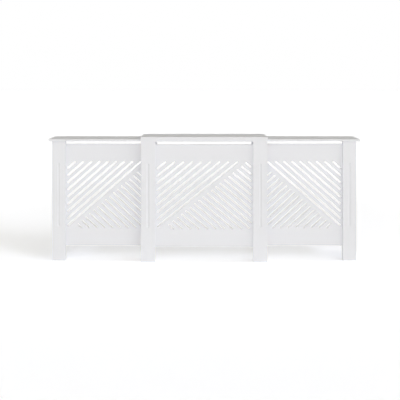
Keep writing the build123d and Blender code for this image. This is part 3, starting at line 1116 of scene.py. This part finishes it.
@dataclass
class Joinery:
    """What the boards of all three sections share, in millimetres."""

    finishes: Finishes  # materials of the cover
    frame: dict[str, Any]  # the loaded frame
    foot_gap: float = 94.0  # open height under the bottom rails
    rail_top: float = 761.0  # height of the top of the rails over the grilles
    grille_top: float = 645.5  # height of the top of the grilles
    grille_bottom: float = 213.0  # height of the bottom of the grilles
    slot_width: float = 9.5  # width of a slot
    slot_ease: float = 0.8  # radius of a slot's edges
    groove_width: float = 18.0  # width of the routed groove
    groove_depth: float = 4.5  # depth of the groove
    groove_drop: float = 7.5  # top of the groove under the top of the grille
    groove_rise: float = 10.0  # bottom of the groove over the bottom of the grille
    arris: float = 1.0  # radius of the long edges of the stiles
    broken: float = 0.6  # radius of all other sawn edges
    # radius of the edges of a stile that lie against the boards behind it, and of the rims of the
    # holes for the screws' heads
    joint: float = 0.15
    # how much more than its edges' radius a board's corners are rounded by in its plane
    spare: float = 0.1
    moulded: float = 0.8  # radius of the edges of guides and corner blocks
    screw: CrossScrew = CrossScrew()  # the wood screws

    def dress(self, node: str, finish: Material, ease: float = 0.0) -> None:
        """Gives a node that keeps its construction mesh a finish of its own.

        Args:
            node: Name of the node.
            finish: Its material.
            ease: Width by which its sharp edges are broken, if any.
        """
        piece = self.frame["nodes"][node]
        piece.data.materials.clear()
        piece.data.materials.append(finish)
        if ease:
            join = piece.modifiers.new("join", "WELD")
            join.merge_threshold = WELD_METRES
            bevel = piece.modifiers.new("ease", "BEVEL")
            bevel.width = ease * MM
            bevel.segments = BEVEL_STEPS
            bevel.limit_method = "ANGLE"
            bevel.angle_limit = np.radians(BEVEL_OVER)
            bevel.harden_normals = True
        LOG.info("%s keeps its mesh, in %s", node, finish.name)

    def painted(self, shell: Shell, node: str, body: str) -> None:
        """Puts a finished board in the place of its node.

        Args:
            shell: Surface of the board.
            node: Node that it stands for.
            body: Body that it rides on.
        """
        piece = shell.as_object(f"{node}_painted")
        piece.data.materials.append(self.finishes.white_paint)
        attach(piece, body)
        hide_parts(node)
        LOG.info("%s: %d corners", piece.name, len(shell.points))

    def seats(self, node: str) -> list[Seat]:
        """Where the screws of a node sit."""
        return [Seat.of(corners) for corners in loose_parts(self.frame["nodes"][node])]

    def drive(self, node: str, body: str) -> None:
        """Puts screws with cross recesses in the place of a node's plain ones.

        Args:
            node: Node of the screws.
            body: Body that they ride on.
        """
        seats = self.seats(node)
        piece = self.screw.driven(f"{node}_driven", seats)
        piece.data.materials.append(self.finishes.zinc_steel)
        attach(piece, body)
        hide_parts(node)
        LOG.info("%s: %d screws", piece.name, len(seats))

    def stile(self, node: str) -> Shell:
        """An upright with eased long edges and a routed groove along its middle.

        Args:
            node: Node of the stile.

        Returns:
            The stile.
        """
        low, high = box_mm(node)
        corners = rectangle(low[[0, 2]], high[[0, 2]])
        ease = (self.broken, self.arris, self.broken, self.arris)
        middle = (low[0] + high[0]) / 2
        foot = np.array([middle, self.grille_bottom + self.groove_rise])
        head = np.array([middle, self.grille_top - self.groove_drop])
        board = Board(
            rounded_polygon(corners, self.arris + self.spare, ease),
            high[1] - low[1],
            grooves=[round_ended(foot, head, self.groove_width, self.broken / 2)],
            groove_width=self.groove_width,
            groove_depth=self.groove_depth,
            back_ease=self.joint,
        )
        return board.shell().placed(Facing.FRONT, -low[1])

    def plain_board(self, node: str, facing: Facing, ease: Sequence[float] | float) -> Shell:
        """A rectangular board with eased edges, the size of its node.

        Where an edge is rounded by more than an arris, it is rounded as much at the back.

        Args:
            node: Node of the board.
            facing: How the board lies.
            ease: Radius of the rounded edges, one for all or one for each edge, anticlockwise
                from the lowest one.

        Returns:
            The board.
        """
        low, high = box_mm(node)
        axes = facing.axes
        widest = float(np.max(ease))
        corners = rectangle(axes[:2] @ low, axes[:2] @ high)
        thickness = abs(axes[2] @ (high - low))
        back_ease = widest if widest > self.arris else self.broken
        board = Board(
            rounded_polygon(corners, widest + self.spare, ease), thickness, back_ease=back_ease
        )
        return board.shell().placed(facing, max(-axes[2] @ low, -axes[2] @ high))

    def grille_panel(
        self,
        body: str,
        outline: tuple[Sequence[float], Sequence[float]],
        pattern: Chevron,
        ends: Pair,
        lean: Side,
    ) -> Shell:
        """A panel with the slots of its grille, and holes for the heads of its screws.

        Args:
            body: First word of the names of its node and its screws' node.
            outline: Places of its corners along the panel, and their heights.
            pattern: Pattern of the slots.
            ends: Where the grille starts and stops along the panel.
            lean: Side towards which the long slots rise.

        Returns:
            The panel.
        """
        low, high = box_mm(f"{body}_grille_panel")
        corners = np.stack(outline, axis=1)
        start, stop = ends
        tips = pattern.tips((stop - start) / 2, self.grille_bottom, self.grille_top)
        tips = tips * np.array([lean.value, 1.0]) + np.array([(start + stop) / 2, 0.0])
        slots = [round_ended(*pair, self.slot_width, self.slot_ease) for pair in tips]
        bores = [
            bore(seat.rim[[0, 2]], self.screw.head, self.joint)
            for seat in self.seats(f"{body}_panel_screws")
        ]
        board = Board(
            rounded_polygon(corners, self.arris, self.broken), high[1] - low[1], slots + bores
        )
        return board.shell().placed(Facing.FRONT, -low[1])


@dataclass
class CentreSection:
    """The raised middle of the cover, which the side sections slide in behind."""

    joinery: Joinery  # what all sections share
    grille_margin: float = 9.0  # grille to the inner edge of the stile
    # pattern of the grille
    pattern: Chevron = Chevron(
        long_angle=38.75, long_pitch=36.6, short_angle=39.4, short_pitch=34.9, first_short=27.7
    )

    def grille_panel(self) -> Shell:
        """Legs and shoulders behind the stiles, rails, and the slots between.

        Returns:
            The panel.
        """
        (left, _, foot), (right, _, head) = box_mm("centre_grille_panel")
        inner = box_mm("centre_right_stile")[0][0]
        gap, rail = self.joinery.foot_gap, self.joinery.rail_top
        across = [left, -inner, -inner, inner, inner, right]
        across = across + [right, inner, inner, -inner, -inner, left]
        up = [foot, foot, gap, gap, foot, foot, head, head, rail, rail, head, head]
        half = inner - self.grille_margin
        ends = (-half, half)
        return self.joinery.grille_panel("centre", (across, up), self.pattern, ends, Side.RIGHT)

    def build(self) -> None:
        """Makes the boards of the section and dresses its fittings."""
        shared = self.joinery
        stile = shared.stile("centre_right_stile")
        boards = {
            "grille_panel": self.grille_panel(),
            "left_stile": stile.on(Side.LEFT),
            "right_stile": stile,
            "top": shared.plain_board("centre_top", Facing.UP, shared.arris),
            "fascia": shared.plain_board("centre_fascia", Facing.FRONT, shared.broken),
        }
        for name, shell in boards.items():
            shared.painted(shell, f"centre_{name}", "centre")
        self.dress_fittings()

    def dress_fittings(self) -> None:
        """Dresses the beech guides and dowels and the felt strips, and drives the screws."""
        shared, finishes = self.joinery, self.joinery.finishes
        for side in Side:
            for level in ("upper", "lower"):
                guide = f"centre_{side.word}_{level}_guide"
                shared.dress(guide, finishes.beech, shared.moulded)
            shared.dress(f"centre_{side.word}_glide_strip", finishes.grey_felt)
        shared.dress("centre_dowels", finishes.beech)
        for screws in ("centre_panel_screws", "centre_guide_screws"):
            shared.drive(screws, "centre")


@dataclass
class SideSection:
    """One end of the cover, which slides in behind the centre."""

    joinery: Joinery  # what all sections share
    side: Side  # which end it is
    grille_margin: float = 8.5  # grille to the inner edge of the stile
    grille_hidden: float = 6.0  # grille that runs on behind the centre stile
    shoulder_width: float = 56.0  # width of the shoulder that carries the top
    nose: float = 3.5  # radius of the rounded edges of the top
    # pattern of the grille
    pattern: Chevron = Chevron(
        long_angle=41.1, long_pitch=35.3, short_angle=42.3, short_pitch=34.1, first_short=75.6
    )

    def grille_panel(self) -> Shell:
        """Outer leg, inner shoulder, rails, and the slots between.

        Returns:
            The right-hand panel.
        """
        (left, _, foot), (right, _, head) = box_mm("right_grille_panel")
        inner = box_mm("right_stile")[0][0]
        gap, rail = self.joinery.foot_gap, self.joinery.rail_top
        shoulder = left + self.shoulder_width
        across = [left, inner, inner, right, right, inner, inner, shoulder, shoulder, left]
        up = [gap, gap, foot, foot, head, head, rail, rail, head, head]
        start = box_mm("centre_right_stile")[1][0] - self.grille_hidden
        ends = (start, inner - self.grille_margin)
        return self.joinery.grille_panel("right", (across, up), self.pattern, ends, Side.LEFT)

    def build(self) -> None:
        """Makes the boards of the section and dresses its fittings."""
        shared = self.joinery
        broken = shared.broken
        top_ease = (self.nose, self.nose, broken, broken)
        boards = {
            "grille_panel": self.grille_panel(),
            "stile": shared.stile("right_stile"),
            "end_panel": shared.plain_board("right_end_panel", Facing.RIGHT, broken),
            "top": shared.plain_board("right_top", Facing.UP, top_ease),
        }
        word = self.side.word
        for name, shell in boards.items():
            shared.painted(shell.on(self.side), f"{word}_{name}", f"{word}_section")
        self.dress_fittings()

    def dress_fittings(self) -> None:
        """Dresses the dowels, corner blocks and wall bracket, and drives the screws."""
        shared, finishes, word = self.joinery, self.joinery.finishes, self.side.word
        shared.dress(f"{word}_dowels", finishes.beech)
        shared.dress(f"{word}_corner_blocks", finishes.white_plastic, shared.moulded)
        shared.dress(f"{word}_wall_bracket", finishes.zinc_steel)
        for screws in ("panel_screws", "block_screws", "bracket_screws"):
            shared.drive(f"{word}_{screws}", f"{word}_section")


# --- Studio ---


@dataclass(frozen=True)
class Softbox:
    """A far, broad lamp."""

    name: str  # name of the lamp
    azimuth: float  # degrees from straight in front, to the right
    elevation: float  # degrees above the floor
    breadth: float  # angle that it fills, in degrees
    strength: float  # light on a surface that faces it

    def hang(self) -> None:
        """Hangs the lamp, shining along -Z of its own axes towards the cover."""
        data = bpy.data.lights.new(self.name, "SUN")
        data.angle = np.radians(self.breadth)
        data.energy = self.strength
        lamp = linked(self.name, data)
        lamp.rotation_euler = (np.radians(90.0 - self.elevation), 0.0, np.radians(self.azimuth))


@dataclass
class Studio:
    """Pale floor, white surroundings, lamps, and the camera.  Lengths are in metres."""

    # the soft lamps, each with its name, azimuth, elevation, breadth and strength
    lamps: tuple[Softbox, ...] = (
        Softbox("key", 57.0, 38.0, 26.0, 0.43),
        Softbox("side", 80.0, 14.0, 30.0, 0.36),
        Softbox("fill", 0.0, 8.0, 30.0, 0.62),
    )
    horizon: float = 2.06  # strength of the surroundings' light, level with the cover
    zenith: float = 0.163  # its strength overhead
    fade: float = 0.6  # sine of the elevation up to which it falls from one to the other
    # colour of the light overhead, where the light at the horizon is white
    overhead: Colour = (1.0, 0.925, 0.735, 1.0)
    # brightness of the floor, from least to most, for light that bounces off it
    floor_levels: Pair = (0.9, 0.91)
    patches: Grain = Grain(1.5)  # slow patches of the floor, between the two
    # Brightness of the floor as the camera sees it: under the cover, round its feet, on the open
    #     # floor and beyond. All are over 1, so that the lit floor is shown white; the lower ones
    #     under the
    #     # cover and round its feet paint shade there.
    gains: tuple[float, ...] = (1.55, 1.74, 1.91, 2.12)
    # distances from the cover's line between which each gain gives way to the next
    bands: tuple[Pair, ...] = ((0.02, 0.17), (0.29, 0.99), (1.6, 3.0))
    # stretch of the floor's axes before the distance is measured
    line_stretch: Triple = (1.4, 1.0, 1.0)
    line_middle: Triple = (0.0, 0.16, 0.0)  # middle of the line, which runs along X under the cover
    line_half: Triple = (0.98, 0.0, 0.0)  # half its length, once stretched
    tint_rate: Triple = (1.0, 1.08, 1.38)  # share of the gain in red, green and blue
    # What is added to each. The two take the lamps' tints off the shown floor.
    tint_offset: Triple = (0.0, -0.082, -0.449)
    floor_half: float = 30.0  # half the width of the floor
    camera_at: Triple = (-0.027, -3.690, 1.2375)  # place of the camera
    lens: float = 50.0  # focal length, in millimetres
    sensor: float = 36.0  # width of the sensor, in millimetres
    shift: float = -0.3225  # how far the lens is dropped, as a share of the frame

    def floor_material(self) -> Material:
        """Matt white, which the camera and reflections see brightened, with all its shadows, and
        brightened less under the cover and round its feet, which paints shade there.

        With p the place on the floor after the stretch, m the middle of the line and h its half,
        the distance from the line is the length of max(|p - m| - h, 0).  The gain is the first of
        the gains plus, for each band, a smooth step up to the next one.

        Returns:
            The material.
        """
        recipe = Recipe("studio_floor")
        patches = recipe.noise(self.patches)
        colour = recipe.mix(patches, *(grey(level) for level in self.floor_levels))
        matt = recipe.node("BsdfDiffuse", {"Color": colour})
        offset = recipe.vector("SUBTRACT", recipe.place(self.line_stretch), self.line_middle)
        past = recipe.vector("SUBTRACT", recipe.vector("ABSOLUTE", offset), self.line_half)
        beyond = recipe.vector("MAXIMUM", past, (0.0, 0.0, 0.0))
        far = recipe.node("VectorMath", {0: beyond}, operation="LENGTH").outputs["Value"]
        stages = [
            recipe.spread(far, (0.0, after - before), band, interpolation_type="SMOOTHSTEP")
            for band, before, after in zip(self.bands, self.gains, self.gains[1:])
        ]
        # painted shade: the floor is brightened least near the line under the cover
        gain = recipe.sum(self.gains[0], *stages)
        bright = recipe.vector("MULTIPLY_ADD", gain, self.tint_rate, self.tint_offset)
        shown = recipe.node("BsdfDiffuse", {"Color": bright})
        ends = {0: recipe.seen(), 1: matt.outputs[0], 2: shown.outputs[0]}
        return recipe.closed(recipe.node("MixShader", ends).outputs[0])

    def lay_floor(self) -> None:
        """Lays the floor under the cover."""
        half = self.floor_half
        mesh = bpy.data.meshes.new("studio_floor")
        corners = [(-half, -half, 0.0), (half, -half, 0.0), (half, half, 0.0), (-half, half, 0.0)]
        mesh.from_pydata(corners, [], [(0, 1, 2, 3)])
        mesh.materials.append(self.floor_material())
        floor = linked("studio_floor", mesh)

    def surround(self) -> None:
        """Soft light from all round, which the camera and reflections see as plain white.

        Between the horizon and the height at which it has faded, its strength and colour go
        evenly from those level with the cover to those overhead.
        """
        world = bpy.data.worlds.new("studio")
        world.use_nodes = True
        sky = Wiring(world.node_tree)
        towards = sky.node("TexCoord", {}).outputs["Generated"]
        up = sky.node("SeparateXYZ", {0: towards}).outputs["Z"]
        height = sky.spread(up, (0.0, 1.0), (0.0, self.fade))
        strength = sky.mix(height, self.horizon, self.zenith, Blend.NUMBERS)
        colour = sky.mix(height, grey(1.0), self.overhead)
        light = sky.node("Background", {"Strength": strength, "Color": colour})
        white = sky.node("Background", {"Strength": 1.0, "Color": grey(1.0)})
        ends = {0: sky.seen(), 1: light.outputs[0], 2: white.outputs[0]}
        sky.node("OutputWorld", {"Surface": sky.node("MixShader", ends).outputs[0]})
        bpy.context.scene.world = world

    def set_camera(self) -> None:
        """Stands the camera level, with its lens dropped to frame the cover."""
        data = bpy.data.cameras.new("camera")
        data.lens = self.lens
        data.sensor_width = self.sensor
        data.sensor_fit = "HORIZONTAL"
        data.shift_y = self.shift
        camera = linked("camera", data)
        camera.location = self.camera_at
        camera.rotation_euler = (np.pi / 2, 0.0, 0.0)
        bpy.context.scene.camera = camera

    def build(self) -> None:
        """Sets up everything round the cover."""
        bpy.context.scene.view_settings.view_transform = "Standard"
        self.set_camera()
        self.surround()
        self.lay_floor()
        for lamp in self.lamps:
            lamp.hang()


def main() -> None:
    """Builds the cover and the studio round it."""
    logging.basicConfig(level=logging.INFO, format="%(name)s: %(message)s")
    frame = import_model()
    joinery = Joinery(Finishes.mixed(), frame)
    CentreSection(joinery).build()
    for side in Side:
        SideSection(joinery, side).build()
    Studio().build()


if __name__ == "__main__":
    main()
